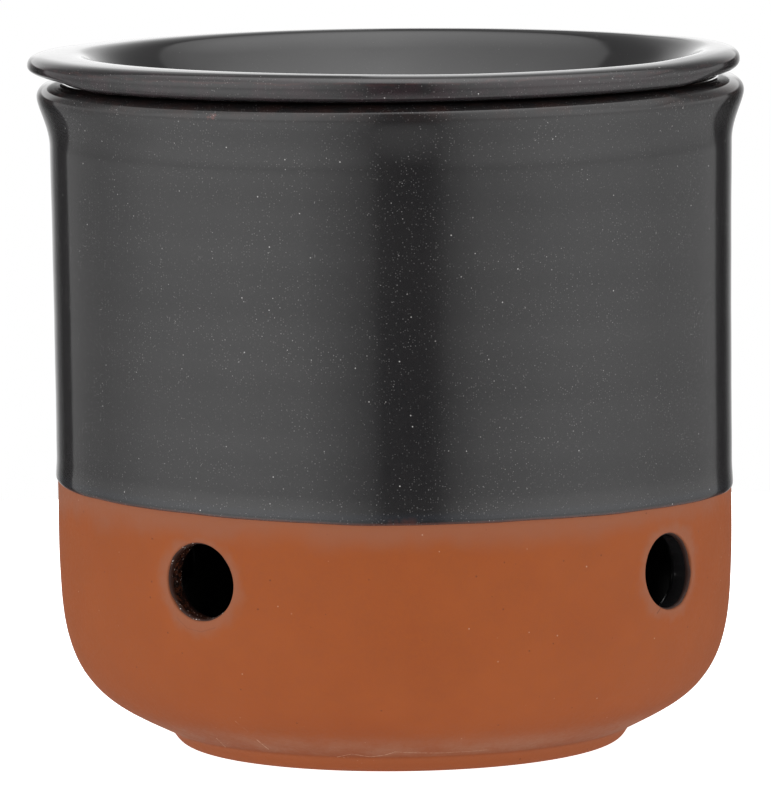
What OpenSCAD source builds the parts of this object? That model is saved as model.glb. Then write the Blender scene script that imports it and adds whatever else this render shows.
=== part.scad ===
// Garlic keeper: a round vented ceramic jar with a separate dish-shaped lid.
// Units are millimetres. +Z is up, z = 0 is the surface that the jar stands on,
// the Z axis is the axis the jar was turned on, and -Y is the front.
// Each piece is fired clay with a thin coat of glaze fused to part of it, so
// every coat shares its inner face exactly with the clay below it.

/* [Jar] */
// Diameter of the bare clay wall
body_d = 124.2; // [120:0.2:126]
// Height of the top of the clay lip
lip_z = 122.25; // [105:0.25:140]
// Largest diameter of the clay lip
lip_d = 128.8; // [127.4:0.2:130]
// Thickness of the clay wall
wall_t = 4.6; // [3.6:0.1:5]
// Height at which the rounded base turns into the straight wall
base_h = 39.9; // [36:0.1:44]

/* [Foot] */
// Diameter of the ring that the jar stands on, at the table
foot_d = 78.8; // [76:0.2:82]
// Diameter of the recess inside the foot ring, at the table
foot_recess_d = 67; // [56:0.5:70]
// Depth of the recess inside the foot ring
foot_recess_h = 2.2; // [1:0.1:3]
// Height of the clay floor inside the jar
floor_z = 7.7; // [6.5:0.1:9]

/* [Vents] */
// Angle between the two vent holes at the front, and between the two at the back
vent_spread = 87.7; // [80:0.1:100]
// Diameter of a vent hole inside its glaze
vent_d = 14; // [10:0.5:16]
// Height of the vent holes' centres
vent_z = 35.8; // [34:0.1:37]

/* [Glaze] */
// Thickness of the glaze on the jar
glaze_t = 0.35; // [0.2:0.05:0.5]
// Height of the lower edge of the outer glaze
glaze_z = 46.6; // [46:0.2:70]
// Thickness of the glaze in the vent holes
vent_glaze_t = 0.3; // [0.2:0.05:0.4]
// Thickness of the glaze on the lid
lid_glaze_t = 0.3; // [0.2:0.05:0.4]

/* [Lid] */
// Largest diameter of the glazed lid
lid_d = 130.6; // [130:0.2:132]
// Height of the lid's rim above the lip that it rests on
lid_rim_h = 4.64; // [4.2:0.02:5.2]
// Depth of the dish in the lid, from the crest of the rim to the dish's edge
dish_h = 12.74; // [10:0.02:15]
// Thickness of the lid's floor
lid_floor_t = 4.3; // [3.5:0.1:5]
// Gap all round between the lid's dish and the glazed mouth of the jar
mouth_gap = 1.2; // [0.5:0.05:1.5]
// Gap under the lid's seat, which the roughness of the glaze leaves
seat_gap = 0.1; // [0.1:0.05:0.3]

/* [Hidden] */
$fn = 180;

steps = 14;             // pieces in each curve of a profile
R = body_d / 2;         // outside of the clay wall
RI = R - wall_t;        // inside of the clay wall
RL = lip_d / 2;         // outside of the clay lip
RF = foot_d / 2;        // foot ring at the table
RC = foot_recess_d / 2; // recess in the foot
RJ = RF + 3.8;          // where the foot ring meets the rounded base
ZJ = 3.2;
RM = RI + 2.4;          // where the outer glaze meets the liner on the lip
RV = vent_d / 2;
ZS = lip_z + glaze_t + seat_gap;   // underside of the lid's seat
ZC = lip_z + glaze_t + lid_rim_h + seat_gap;   // crest of the lid's rim
RW = RI - glaze_t - mouth_gap;     // outside of the lid's dish
RO = lid_d / 2;         // outside of the lid
ZD = ZC - dish_h;       // floor of the dish at its edge

// Points on a cubic curve with the four control points p
function curve(p, n = steps) = [for (i = [0:n])
    let (t = i / n, u = 1 - t)
    u*u*u*p[0] + 3*u*u*t*p[1] + 3*u*t*t*p[2] + t*t*t*p[3]];
// All but the first point, to join one curve to the one before it
function rest(p) = [for (i = [1:len(p) - 1]) p[i]];
function rev(p) = [for (i = [len(p) - 1:-1:0]) p[i]];
// Unit vector to the right of the path p at its point i
function side(p, i) =
    let (a = p[max(0, i - 1)], b = p[min(len(p) - 1, i + 1)], d = b - a, l = norm(d))
    [d[1] / l, -d[0] / l];
// The path p moved to its left by d, which tapers to nothing at its start
function sunk(p, d, taper) = [for (i = [0:len(p) - 1])
    p[i] - side(p, i) * d * min(1, i / taper)];

// ---- profiles of the jar, as [radius, height] ----
foot_out = curve([[RF, 0], [RF + 2.2, 0.4], [RF + 2.1, 2.2], [RJ, ZJ]], 8);
base_out = curve([[RJ, ZJ], [RJ + 12.6, ZJ + 6.1], [R, ZJ + 6.9], [R, base_h]], 20);
flare_out = curve([[R, lip_z - 11.8], [R, lip_z - 7.5], [RL, lip_z - 4.8], [RL, lip_z - 2.9]]);
lip_out = curve([[RL, lip_z - 2.9], [RL, lip_z - 1.2], [RL - 1.4, lip_z], [RM + 0.8, lip_z]], 10);
lip_in = curve([[RI + 1.5, lip_z], [RI + 0.7, lip_z], [RI, lip_z - 0.9], [RI, lip_z - 2.4]], 8);
floor_in = curve([[RI, base_h - 1.5], [RI, 15], [RI - 5, floor_z + 0.5], [RI - 19, floor_z]], 18);
// the same inner path at the face of the liner
lip_lin = curve([[RI + 1.5, lip_z + glaze_t], [RI + 0.5, lip_z + glaze_t],
    [RI - glaze_t, lip_z - 0.7], [RI - glaze_t, lip_z - 2.4]], 8);
floor_lin = curve([[RI - glaze_t, base_h - 1.5], [RI - glaze_t, 15.2],
    [RI - 5.2, floor_z + 0.5 + glaze_t], [RI - 19, floor_z + glaze_t]], 18);
// the outer face of the glaze: a small rolled edge, then the wall and the flare
roll_gl = curve([[R, glaze_z], [R + glaze_t * 0.9, glaze_z + 0.05],
    [R + glaze_t * 0.95, glaze_z + 0.7], [R + glaze_t * 0.5, glaze_z + 2]], 6);
flare_gl = curve([[R + glaze_t, lip_z - 11.6], [R + glaze_t, lip_z - 7.7],
    [RL + glaze_t, lip_z - 5], [RL + glaze_t, lip_z - 2.9]]);
lip_gl = curve([[RL + glaze_t, lip_z - 2.9], [RL + glaze_t, lip_z - 1.05],
    [RL - 1.3, lip_z + glaze_t], [RM + 0.8, lip_z + glaze_t]], 10);

clay_outer = concat(foot_out, rest(base_out), flare_out, rest(lip_out));
clay_inner = concat(lip_in, floor_in);
foot_in = curve([[RC - 1.4, foot_recess_h], [RC - 1.2, foot_recess_h * 0.4],
    [RC - 0.7, 0.1], [RC, 0]], 6);

// ---- profiles of the lid ----
// finished top face: under the rim, over its crest, down into the dish
rim_low = curve([[RO - 4.2, ZS + 0.08], [RO - 2.2, ZS + 0.25],
    [RO, ZS + 1], [RO, ZS + 2.75]], 12);
rim_top = curve([[RO, ZS + 2.75], [RO, ZC - 0.75], [RO - 0.9, ZC - 0.06], [RO - 2.3, ZC - 0.03]], 10);
crest = curve([[RO - 2.3, ZC - 0.03], [RO - 2.9, ZC + 0.01], [RO - 3.4, ZC + 0.01], [RO - 4, ZC - 0.02]], 4);
dish_top = curve([[RO - 4, ZC - 0.02], [RO - 5.8, ZC - 0.08], [RO - 8, ZC - 1.1], [RO - 10.4, ZC - 3.8]]);
dish_wall = curve([[RO - 10.4, ZC - 3.8], [RO - 14.4, ZC - 8.3],
    [RO - 19, ZD], [RO - 26, ZD]], 16);
lid_top = concat(rim_low, rest(rim_top), rest(crest), rest(dish_top), rest(dish_wall),
    [[0.01, ZD - 0.3]]);
lid_clay_top = sunk(lid_top, lid_glaze_t, 5);
// clay underside, from the axis out to the edge of the seat
ZU = ZD - 0.3 - lid_floor_t;
lid_under = concat([[0, ZU]],
    curve([[RW - 18, ZU], [RW - 8, ZU], [RW - 0.9, ZU + 4.4], [RW - 0.1, ZU + 8.6]], 14),
    curve([[RW, ZS - 1.1], [RW, ZS - 0.3], [RW + 0.5, ZS], [RW + 1.2, ZS]], 6),
    [[RO - 4.6, ZS]]);

// One cylinder along each vent
module vents(r) {
    for (s = [-1, 1], way = [-90, 90])
        rotate([0, 0, way + s * vent_spread / 2])
            translate([RI - 12, 0, vent_z])
                rotate([0, 90, 0])
                    cylinder(r = r, h = wall_t + 24);
}

// Fired clay: foot ring, rounded base, straight wall, flared lip and vent holes
module jar_body() {
    color([0.58, 0.33, 0.23])
        difference() {
            rotate_extrude()
                polygon(concat([[0, foot_recess_h]], foot_in, clay_outer, clay_inner,
                    [[0, floor_z]]));
            vents(RV + vent_glaze_t);
        }
}

// Glaze on the outside, from its rolled lower edge up to the top of the lip
module jar_outer_glaze() {
    color([0.27, 0.27, 0.28])
        rotate_extrude()
            polygon(concat(roll_gl, [[R + glaze_t, lip_z - 20]], flare_gl, rest(lip_gl),
                [[RM, lip_z + glaze_t], [RM, lip_z]],
                rev(lip_out), rest(rev(flare_out))));
}

// Liner glaze over the whole inside, run through the vent holes
module jar_liner_glaze() {
    color([0.16, 0.14, 0.14])
        difference() {
            union() {
                rotate_extrude()
                    polygon(concat([[RM, lip_z + glaze_t]], lip_lin, floor_lin,
                        [[0, floor_z + glaze_t], [0, floor_z]],
                        rev(floor_in), rev(lip_in), [[RM, lip_z]]));
                intersection() {
                    vents(RV + vent_glaze_t);
                    rotate_extrude()
                        polygon(concat(base_out, [[R, vent_z + 12], [RI - glaze_t, vent_z + 12]],
                            floor_lin, [[RJ - 3, floor_z + glaze_t]]));
                }
            }
            vents(RV);
        }
}

// Fired clay of the lid: a dish with a broad rim whose flat underside is the seat
module lid_body() {
    color([0.55, 0.33, 0.25])
        rotate_extrude()
            polygon(concat(lid_under, lid_clay_top));
}

// Glaze on the lid, from under the edge of the rim over the crest and the dish
module lid_glaze() {
    color([0.30, 0.30, 0.31])
        rotate_extrude()
            polygon(concat(lid_top, rev(rest(lid_clay_top))));
}

jar_body();
jar_outer_glaze();
jar_liner_glaze();
lid_body();
lid_glaze();
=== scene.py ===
import math

import bpy
import numpy as np
from mathutils import Matrix, Vector


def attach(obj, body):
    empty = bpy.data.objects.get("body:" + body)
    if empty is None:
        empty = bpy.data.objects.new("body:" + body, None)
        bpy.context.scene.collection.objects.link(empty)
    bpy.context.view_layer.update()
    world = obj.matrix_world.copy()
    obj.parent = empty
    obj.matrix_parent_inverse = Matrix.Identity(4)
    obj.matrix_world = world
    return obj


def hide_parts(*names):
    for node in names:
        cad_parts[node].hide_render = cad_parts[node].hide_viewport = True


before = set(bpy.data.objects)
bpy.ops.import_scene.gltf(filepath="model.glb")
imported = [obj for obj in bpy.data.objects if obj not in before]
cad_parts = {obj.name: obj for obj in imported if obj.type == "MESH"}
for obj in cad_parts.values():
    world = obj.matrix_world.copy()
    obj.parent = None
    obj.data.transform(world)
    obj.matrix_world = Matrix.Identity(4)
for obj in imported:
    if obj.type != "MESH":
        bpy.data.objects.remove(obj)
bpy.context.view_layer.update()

# Profiles are in millimetres, as [radius, height]; meshes are written in metres.
MM = 0.001
SEG = 384                    # columns round the axis
HOLE_HALF = 11               # columns and rows on each side of the column and row nearest a vent hole
VENT_Z = 35.8
# the vent holes: nearest column, angle from +X in degrees, height of the centre above VENT_Z, lean
VENTS = [(335, -46.15, -0.26, -0.11), (49, 46.15, 0.1, 0.03), (143, 133.85, -0.1, -0.03), (241, -133.85, 0.68, 0.0)]
AZ = math.radians(9.35)       # the camera stands this far to the left of the front
R_CLAY, R_IN, R_LIP, R_HOLE = 62.1, 57.5, 64.5, 7.12
LIP_Z, GLAZE_T = 122.25, 0.35
GLAZE_Z = 46.6


# ---------------------------------------------------------------- profiles
def curve(p, n):
    t = np.linspace(0.0, 1.0, n + 1)[:, None]
    p = np.array(p, float)
    u = 1 - t
    return u**3 * p[0] + 3 * u * u * t * p[1] + 3 * u * t * t * p[2] + t**3 * p[3]


def chain(*parts):
    """Joins paths, leaving out a first point that repeats the last one."""
    out = [np.array(parts[0], float)]
    for part in parts[1:]:
        part = np.array(part, float)
        if np.linalg.norm(part[0] - out[-1][-1]) < 1e-6:
            part = part[1:]
        out.append(part)
    return np.vstack(out)


def spaced(path, step):
    """The path resampled to points about step apart."""
    d = np.r_[0, np.cumsum(np.linalg.norm(np.diff(path, axis=0), axis=1))]
    n = max(2, int(math.ceil(d[-1] / step)) + 1)
    s = np.linspace(0, d[-1], n)
    return np.c_[np.interp(s, d, path[:, 0]), np.interp(s, d, path[:, 1])]


def rows(path, z0, z1, n):
    """n + 1 points of the path at even heights from z0 to z1."""
    order = np.argsort(path[:, 1])
    z = np.linspace(z0, z1, n + 1)
    return np.c_[np.interp(z, path[order, 1], path[order, 0]), z]


def normals(path):
    d = np.gradient(path, axis=0)
    d /= np.linalg.norm(d, axis=1)[:, None] + 1e-12
    return np.c_[d[:, 1], -d[:, 0]]


# ---------------------------------------------------------------- meshes
def smooth(a, b, x):
    t = np.clip((x - a) / (b - a), 0, 1)
    return t * t * (3 - 2 * t)


def jar_warp(v):
    """The slight unevenness of a thrown jar, the same for the clay and its coats."""
    x, y, z = v[:, 0], v[:, 1], v[:, 2]
    r = np.hypot(x, y)
    a = np.arctan2(y, x)
    w = (0.09 * np.cos(2 * a - 0.5) * (0.3 + z / 160) + 0.05 * np.cos(3 * a + 1.0 + z * 0.012)
         + 0.012 * np.sin(z * 0.37 + 1.3 * np.sin(a)) + 0.004 * np.sin(z * 0.93 + 2 * a)
         + 0.014 * np.sin(5 * a + 0.9 + z * 0.05))
    w *= smooth(8, 30, r)
    # the rounded base is a little fuller than its curve, and sits a little off its axis
    w += smooth(30, 38, r) * np.interp(z, BASE_Z, BASE_W)
    k = np.where(r > 1e-6, (r + w) / np.maximum(r, 1e-6), 1)
    off = 0.75 * np.maximum(0, 1 - z / 30.0) ** 2
    return np.c_[x * k + off * math.cos(AZ), y * k - off * math.sin(AZ), z]


BASE_Z = [0, 2.3, 3.4, 4.5, 5.6, 6.8, 8.6, 10.5, 12.4, 14.2, 16.1, 18, 20, 22, 24.5, 27.3, 30.2, 36]
BASE_W = [0.3, 0.2, 0.28, 0.16, 0.03, -0.10, -0.14, -0.12, -0.04, 0.06, 0.14, 0.18, 0.2, 0.2, 0.18, 0.13, 0.05, 0]
LID_SHIFT = np.array([-0.9 * math.cos(AZ), 0.9 * math.sin(AZ), 0.0])


def lid_warp(v):
    """The lid's own unevenness. It lies a little off the jar's axis, inside its play in the mouth."""
    x, y, z = v[:, 0], v[:, 1], v[:, 2]
    r = np.hypot(x, y)
    a = np.arctan2(y, x)
    w = 0.08 * np.cos(2 * a + 0.8) + 0.04 * np.cos(3 * a - 0.4) + 0.02 * np.sin(5 * a + 1)
    w *= smooth(8, 40, r)
    # the rim is a little wider and broader on one side, and its crest sags a little there
    left = np.cos(a - (math.pi - AZ))
    w += 0.35 * smooth(60.5, 64.8, r) * left
    w -= 2.4 * smooth(40, 52, r) * (1 - smooth(58, 63.5, r)) * smooth(0.2, 0.95, left)
    k = np.where(r > 1e-6, (r + w) / np.maximum(r, 1e-6), 1)
    up = smooth(123.6, 126.5, z) * smooth(50, 58, r)
    z = z + up * (0.05 * np.cos(2 * a - 0.9) + 0.03 * np.cos(3 * a + 0.5))
    # it lies a little askew, and its crest swells a little in two places
    z = z + up * (0.16 * np.cos(a + math.pi / 2 + AZ) + 0.30 * smooth(0.8, 0.98, -left)
                  + 0.35 * smooth(0.3, 0.9, np.cos(a + math.radians(154.35))))
    # the rim's lower edge is not quite level, and curls up at two sides
    z = z + (0.28 * left - 0.08) * (1 - smooth(ZS + 1.2, ZS + 3.2, z)) * smooth(62.2, 64.6, r)
    z = z + 0.95 * smooth(0.82, 0.94, np.abs(left)) * smooth(58.8, 60.4, r) * (1 - smooth(ZS + 0.4, ZS + 3.2, z))
    return np.c_[x * k, y * k, z] + LID_SHIFT


class Shape:
    """Vertices and faces of one lathe mesh, with patches let in round holes."""

    def __init__(self):
        self.v, self.f, self.extra = [], [], []

    def lathe(self, prof, holes=(), turn=None, extra=None):
        """prof goes from axis to axis; its first and last points are on the axis. holes lists (column, first row, last row) blocks left open.
        turn(a, z, k) may return heights that change with the angle."""
        n = len(prof)
        ang = 2 * np.pi * np.arange(SEG) / SEG
        inner = prof[1:-1]
        rr = np.repeat(inner[:, 0], SEG)
        zz = np.repeat(inner[:, 1], SEG)
        aa = np.tile(ang, n - 2)
        if turn is not None:
            rr, zz = turn(aa, rr, zz, np.repeat(np.arange(1, n - 1), SEG))
        verts = np.c_[rr * np.cos(aa), rr * np.sin(aa), zz]
        grid = np.arange((n - 2) * SEG).reshape(n - 2, SEG)
        keep = np.ones((n - 3, SEG), bool)
        for col, k0, k1 in holes:
            for j in range(-HOLE_HALF, HOLE_HALF):
                keep[min(k0, k1) - 1:max(k0, k1) - 1, (col + j) % SEG] = False
        a = grid[:-1]
        b = grid[1:]
        quads = np.stack([a, np.roll(a, -1, 1), np.roll(b, -1, 1), b], 2)[keep]
        faces = quads.tolist()
        first, last = len(verts), len(verts) + 1
        verts = np.vstack([verts, [0, 0, prof[0, 1]], [0, 0, prof[-1, 1]]])
        for j in range(SEG):
            faces.append([first, int(grid[0, (j + 1) % SEG]), int(grid[0, j])])
            faces.append([last, int(grid[-1, j]), int(grid[-1, (j + 1) % SEG])])
        self.v, self.f, self.grid = verts, faces, grid

    def ring_lathe(self, prof, turn=None):
        """A closed ring: the profile's last point joins its first one, and nothing reaches the axis."""
        n = len(prof)
        ang = 2 * np.pi * np.arange(SEG) / SEG
        rr = np.repeat(prof[:, 0], SEG)
        zz = np.repeat(prof[:, 1], SEG)
        aa = np.tile(ang, n)
        if turn is not None:
            rr, zz = turn(aa, rr, zz, np.repeat(np.arange(n), SEG))
        grid = np.arange(n * SEG).reshape(n, SEG)
        b = np.roll(grid, -1, 0)
        quads = np.stack([grid, np.roll(grid, -1, 1), np.roll(b, -1, 1), b], 2).reshape(-1, 4)
        self.v = np.c_[rr * np.cos(aa), rr * np.sin(aa), zz]
        self.f, self.grid = quads.tolist(), grid

    def loop(self, col, k_low, k_high):
        """Vertex numbers round a hole's block, anticlockwise seen from outside the jar. k_low is the row at its foot."""
        g = self.grid
        s = 1 if k_high > k_low else -1
        c = [(col + j) % SEG for j in range(-HOLE_HALF, HOLE_HALF + 1)]
        k = [k_low - 1 + s * i for i in range(abs(k_high - k_low) + 1)]
        out = [g[k[0], j] for j in c[:-1]] + [g[i, c[-1]] for i in k[:-1]]
        out += [g[k[-1], j] for j in reversed(c[1:])] + [g[i, c[0]] for i in reversed(k[1:])]
        return [int(i) for i in out]

    def hole(self, vent, outer, inner, rings):
        """Joins the block at the outside to the block at the inside by rings of vertices. rings(y, z, angle) gives the list of rings in the hole's own axes."""
        col, a, dz = vent[0], math.radians(vent[1]), vent[2]
        zc = VENT_Z + dz
        e_r = np.array([math.cos(a), math.sin(a), 0])
        e_t = np.array([-math.sin(a), math.cos(a), 0])
        lo, hi = self.loop(col, *outer), self.loop(col, *inner)
        n = len(lo)
        angle = -0.75 * math.pi + 2 * math.pi * np.arange(n) / n
        po, pi = self.v[lo], self.v[hi]
        path = rings(po @ e_t, po[:, 2] - zc, pi @ e_t, pi[:, 2] - zc, angle)
        base = len(self.v)
        new = [x[:, None] * e_r + y[:, None] * e_t + (z + zc)[:, None] * np.array([0, 0, 1])
               for x, y, z in path]
        self.v = np.vstack([self.v] + new)
        levels = [lo] + [list(range(base + i * n, base + (i + 1) * n)) for i in range(len(new))] + [hi]
        for p, q in zip(levels[:-1], levels[1:]):
            for i in range(n):
                j = (i + 1) % n
                self.f.append([p[i], p[j], q[j], q[i]])

    def build(self, name, warp, attrs=None):
        v = warp(self.v)
        mesh = bpy.data.meshes.new(name)
        mesh.from_pydata((v * MM).tolist(), [], self.f)
        mesh.validate()
        mesh.polygons.foreach_set("use_smooth", [True] * len(mesh.polygons))
        for key, values in (attrs or {}).items():
            at = mesh.attributes.new(key, "FLOAT", "POINT")
            at.data.foreach_set("value", np.asarray(values, np.float32))
        mesh.update()
        obj = bpy.data.objects.new(name, mesh)
        bpy.context.scene.collection.objects.link(obj)
        return obj


def wall_x(path, y, z):
    """How far out the turned surface with this profile lies at sideways y and height z above the profile's own zero."""
    order = np.argsort(path[:, 1])
    r = np.interp(z, path[order, 1], path[order, 0])
    return np.sqrt(np.maximum(r * r - y * y, 1))


def hole_rings(dz, lean, out_path, in_path, r_hole, round_out, round_in, blend=4, corner=5, straight=5, wobble=0.0):
    """Rings from the outer block to the hole, rounded over its edge, through the wall and out to the inner block."""
    out_path, in_path = out_path - np.array([0, VENT_Z + dz]), in_path - np.array([0, VENT_Z + dz])

    def rings(yo, zo, yi, zi, a):
        c, s = np.cos(a) + lean * np.sin(a), np.sin(a)
        rh = r_hole * (1 + wobble * (0.6 * np.cos(2 * a + 0.4) + 0.4 * np.cos(3 * a + 1.7)))
        out = []
        r1 = rh + round_out
        for m in range(1, blend + 1):
            t = 1 - (1 - m / blend) ** 1.25
            y, z = yo + (r1 * c - yo) * t, zo + (r1 * s - zo) * t
            out.append((wall_x(out_path, y, z), y, z))
        for m in range(1, corner + 1):
            q = 0.5 * math.pi * m / corner
            r = rh + round_out * (1 - math.sin(q))
            y, z = r * c, r * s
            out.append((wall_x(out_path, y, z) - round_out * (1 - math.cos(q)), y, z))
        y, z = rh * c, rh * s
        x0 = wall_x(out_path, y, z) - round_out
        x1 = wall_x(in_path, y, z) + round_in
        for m in range(1, straight + 1):
            out.append((x0 + (x1 - x0) * m / straight, y, z))
        for m in range(1, corner + 1):
            q = 0.5 * math.pi * m / corner
            r = rh + round_in * (1 - math.cos(q))
            y, z = r * c, r * s
            out.append((wall_x(in_path, y, z) + round_in * (1 - math.sin(q)), y, z))
        r2 = rh + round_in
        for m in range(1, blend):
            t = (m / blend) ** 1.25
            y, z = r2 * c + (yi - r2 * c) * t, r2 * s + (zi - r2 * s) * t
            out.append((wall_x(in_path, y, z), y, z))
        return out
    return rings


# ---- jar: clay ----
foot_in = curve([[32.1, 2.2], [32.3, 0.88], [32.8, 0.1], [33.5, 0]], 40)
foot_out = curve([[39.4, 0], [41.6, 0.4], [41.5, 2.2], [43.2, 3.2]], 60)
base_out = curve([[43.2, 3.2], [55.8, 9.3], [62.1, 10.1], [62.1, 39.9]], 400)
flare_out = curve([[62.1, LIP_Z - 11.8], [62.1, LIP_Z - 7.6], [R_LIP, LIP_Z - 4.1], [R_LIP, LIP_Z - 2.4]], 100)
lip_out = curve([[R_LIP, LIP_Z - 2.4], [R_LIP, LIP_Z - 1.1], [R_LIP - 1.1, LIP_Z - 0.1], [60.7, LIP_Z]], 60)
lip_in = curve([[59.0, LIP_Z], [58.2, LIP_Z], [R_IN, LIP_Z - 0.9], [R_IN, LIP_Z - 2.4]], 40)
floor_in = curve([[R_IN, 38.4], [R_IN, 15], [52.5, 8.2], [38.5, 7.7]], 400)
lip_lin = curve([[59.0, LIP_Z + GLAZE_T], [58.0, LIP_Z + GLAZE_T], [57.15, LIP_Z - 0.7], [57.15, LIP_Z - 2.4]], 40)
floor_lin = curve([[57.15, 38.4], [57.15, 15.2], [52.3, 8.55], [38.5, 8.05]], 400)
Z_LO, Z_HI = VENT_Z - HOLE_HALF, VENT_Z + HOLE_HALF

outer_wall = chain(base_out, [[62.1, 39.9], [62.1, LIP_Z - 11.8]])
inner_wall = chain([[R_IN, LIP_Z - 2.4], [R_IN, 38.4]], floor_in)
liner_wall = chain([[57.15, LIP_Z - 2.4], [57.15, 38.4]], floor_lin)


def below(path, z):
    """The part of a path of one height direction below z."""
    order = np.argsort(path[:, 1])
    p = path[order]
    r = np.interp(z, p[:, 1], p[:, 0])
    return np.vstack([p[p[:, 1] < z - 1e-6], [[r, z]]])


def clay_profile():
    a = chain([[0, 2.2]], spaced(np.array([[0, 2.2], [32.1, 2.2]]), 3.2)[1:], spaced(foot_in, 0.35),
              spaced(np.array([[33.5, 0], [39.4, 0]]), 1.2), spaced(foot_out, 0.3),
              spaced(below(base_out, Z_LO), 0.8))
    zone = rows(outer_wall, Z_LO, Z_HI, 2 * HOLE_HALF)
    k0 = len(a) - 1
    b = chain(a, zone)
    k1 = len(b) - 1
    c = chain(b, spaced(np.array([[62.1, Z_HI], [62.1, LIP_Z - 11.8]]), 2.5), spaced(flare_out, 0.9),
              spaced(lip_out, 0.5), [[59.0, LIP_Z]], spaced(lip_in, 0.5),
              spaced(np.array([[R_IN, LIP_Z - 2.4], [R_IN, Z_HI]]), 3.0))
    k2 = len(c) - 1
    d = chain(c, rows(inner_wall, Z_LO, Z_HI, 2 * HOLE_HALF)[::-1])
    k3 = len(d) - 1
    e = chain(d, spaced(below(floor_in, Z_LO)[::-1], 1.2), spaced(np.array([[38.5, 7.7], [0, 7.7]]), 3.2))
    return e, (k0, k1), (k3, k2)


prof, outer_block, inner_block = clay_profile()
clay = Shape()
cols = [v[0] for v in VENTS]
clay.lathe(prof, holes=[(c, *outer_block) for c in cols] + [(c, *inner_block) for c in cols])
for i, v in enumerate(VENTS):
    clay.hole(v, outer_block, inner_block,
              hole_rings(v[2], v[3], outer_wall, inner_wall, R_HOLE, 0.4, 0.9, wobble=0.012 if i % 2 else 0.018))
jar_clay = clay.build("jar_clay_body", jar_warp)

# ---- jar: liner glaze, inside and through the holes ----
SINK = 0.1                    # how far a coat's hidden face lies inside the clay


def liner_profile():
    hid_floor = floor_in + np.array([0.0, -SINK])
    a = chain([[0, 8.05]], spaced(np.array([[0, 8.05], [38.5, 8.05]]), 3.2)[1:],
              spaced(below(floor_lin, Z_LO), 0.8))
    k0 = len(a) - 1
    b = chain(a, rows(liner_wall, Z_LO, Z_HI, 2 * HOLE_HALF))
    k1 = len(b) - 1
    c = chain(b, spaced(np.array([[57.15, Z_HI], [57.15, LIP_Z - 2.4]]), 2.5), spaced(lip_lin[::-1], 0.4),
              [[59.85, LIP_Z + GLAZE_T], [59.9, LIP_Z + GLAZE_T - 0.05], [59.9, LIP_Z - SINK], [59.1, LIP_Z - SINK]],
              spaced(lip_in + np.array([SINK, -SINK]), 1.0),
              spaced(np.array([[R_IN + SINK, LIP_Z - 2.6], [R_IN + SINK, Z_HI]]), 4.0))
    k2 = len(c) - 1
    hid = np.c_[inner_wall[:, 0] + SINK, inner_wall[:, 1]]
    d = chain(c, rows(hid, Z_LO, Z_HI, 2 * HOLE_HALF)[::-1])
    k3 = len(d) - 1
    low = below(np.c_[floor_in[:, 0] + SINK, floor_in[:, 1] - SINK], Z_LO)[::-1]
    low[0] = d[-1]
    e = chain(d, spaced(low, 1.6), [[36, 7.6], [18, 7.6], [0, 7.6]])
    return e, hid, (k0, k1), (k3, k2)


lprof, hid_path, seen_block, hid_block = liner_profile()
lin = Shape()
# Seen from outside the jar the hidden face comes first, so the faces are wound the other way round
lin.lathe(lprof, holes=[(c, *seen_block) for c in cols] + [(c, *hid_block) for c in cols])


def sleeve_rings(k, dz, lean):
    """Hidden face, back of the sleeve, its uneven outer end just inside the hole's edge, its bore, and the rounded way out on to the inside."""
    off = np.array([0, VENT_Z + dz])
    hid_path_, outer_wall_, liner_wall_ = hid_path - off, outer_wall - off, liner_wall - off

    def rings(yo, zo, yi, zi, a):
        c, s = np.cos(a) + lean * np.sin(a), np.sin(a)
        wob = 1 + (0.012 if k % 2 else 0.018) * (0.6 * np.cos(2 * a + 0.4) + 0.4 * np.cos(3 * a + 1.7))
        rh, rb = R_HOLE * wob + SINK, (R_HOLE - 0.3) * wob
        out = []
        rr = rh + 0.9
        for m in range(1, 4):
            t = (m / 3) ** 0.9
            y, z = yo + (rr * c - yo) * t, zo + (rr * s - zo) * t
            out.append((wall_x(hid_path_, y, z), y, z))
        for m in range(1, 4):
            q = 0.5 * math.pi * m / 3
            r = rh + 0.9 * (1 - math.sin(q))
            y, z = r * c, r * s
            out.append((wall_x(hid_path_, y, z) + 0.9 * (1 - math.cos(q)), y, z))
        depth = 0.42 + 0.10 * np.sin(3 * a + k) + 0.08 * np.sin(7 * a + 2.1 * k) + 0.05 * np.sin(13 * a + k)
        y, z = rh * c, rh * s
        x_end = wall_x(outer_wall_, y, z) - depth
        x0 = wall_x(hid_path_, y, z) + 0.9
        for m in (1, 2):
            out.append((x0 + (x_end - x0) * m / 2, y, z))
        for m in range(1, 5):
            q = 0.5 * math.pi * m / 4
            r = rh + (rb - rh) * math.sin(q)
            y, z = r * c, r * s
            out.append((x_end - 0.7 * (1 - math.cos(q)), y, z))
        y, z = rb * c, rb * s
        x1 = x_end - 0.7
        x2 = wall_x(liner_wall_, y, z) + 1.2
        for m in range(1, 8):
            out.append((x1 + (x2 - x1) * m / 7, y, z))
        for m in range(1, 6):
            q = 0.5 * math.pi * m / 5
            r = rb + 1.2 * (1 - math.cos(q))
            y, z = r * c, r * s
            out.append((wall_x(liner_wall_, y, z) + 1.2 * (1 - math.sin(q)), y, z))
        r2 = rb + 1.2
        for m in range(1, 4):
            t = (m / 4) ** 1.2
            y, z = r2 * c + (yi - r2 * c) * t, r2 * s + (zi - r2 * s) * t
            out.append((wall_x(liner_wall_, y, z), y, z))
        return out
    return rings


for i, v in enumerate(VENTS):
    lin.hole(v, hid_block, seen_block, sleeve_rings(i, v[2], v[3]))
jar_liner = lin.build("jar_liner_coat", jar_warp)


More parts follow.
